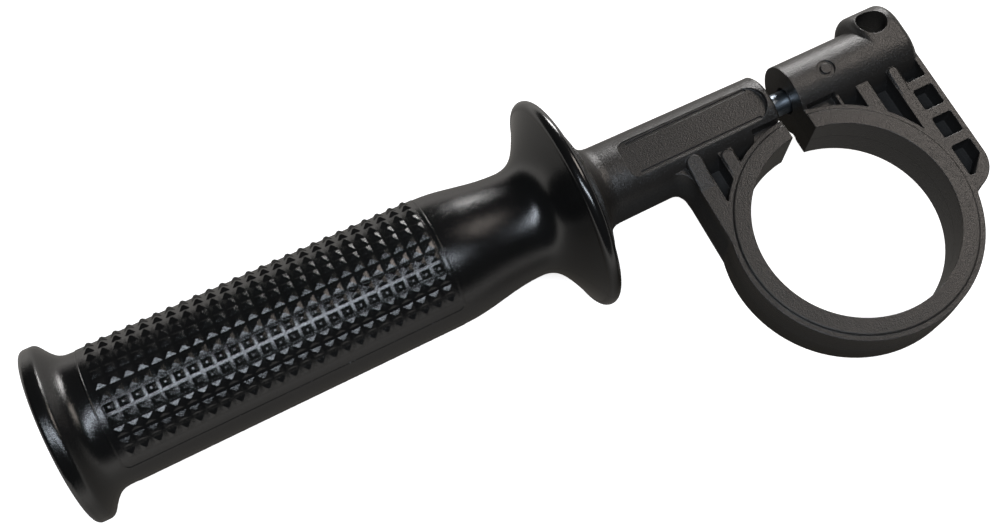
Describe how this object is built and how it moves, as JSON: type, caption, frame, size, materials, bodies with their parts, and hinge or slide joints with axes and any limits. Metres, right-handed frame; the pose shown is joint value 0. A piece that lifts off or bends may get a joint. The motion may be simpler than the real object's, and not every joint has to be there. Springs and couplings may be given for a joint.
{
  "type": "power tool side handle",
  "caption": "Auxiliary side handle with a textured grip and bowl guard that screws up a split clamp ring on a power tool's collar, with a depth-rod hole.",
  "frame": {"origin": "centre of the collar bore, halfway along it", "axes": "+Z along the collar bore, out of the face that carries the badge recess; +X along the grip's axis from the grip towards the far boss; +Y from the bore to the grip's axis"},
  "size_m": [0.196, 0.0821, 0.0468],
  "materials": {
    "clamp_moulding": "dark grey glass-filled nylon, satin with a fine grain",
    "grip_moulding": "black moulded plastic, semi-gloss with an orange-peel grain",
    "zinc_steel": "zinc-plated steel",
    "plain_steel": "plain steel"
  },
  "bodies": {
    "clamp": {"clamp_body": "clamp_moulding", "threaded_insert": "plain_steel"},
    "washer": {"thrust_washer": "plain_steel"},
    "handle": {"grip": "grip_moulding", "tie_bolt": "zinc_steel"}
  },
  "joints": [
    {"name": "grip_travel", "type": "slide", "parent": "clamp", "child": "washer", "axis": [-1, 0, 0], "range_m": [0, 0.006]},
    {"name": "grip_turn", "type": "hinge", "parent": "washer", "child": "handle", "pos_m": [-0.05, 0.032, 0], "axis": [-1, 0, 0], "range_deg": [0, 2160]}
  ],
  "couplings": [
    {"joint": "grip_travel", "follows": "grip_turn", "m_per_rad": 0.00015915}
  ]
}
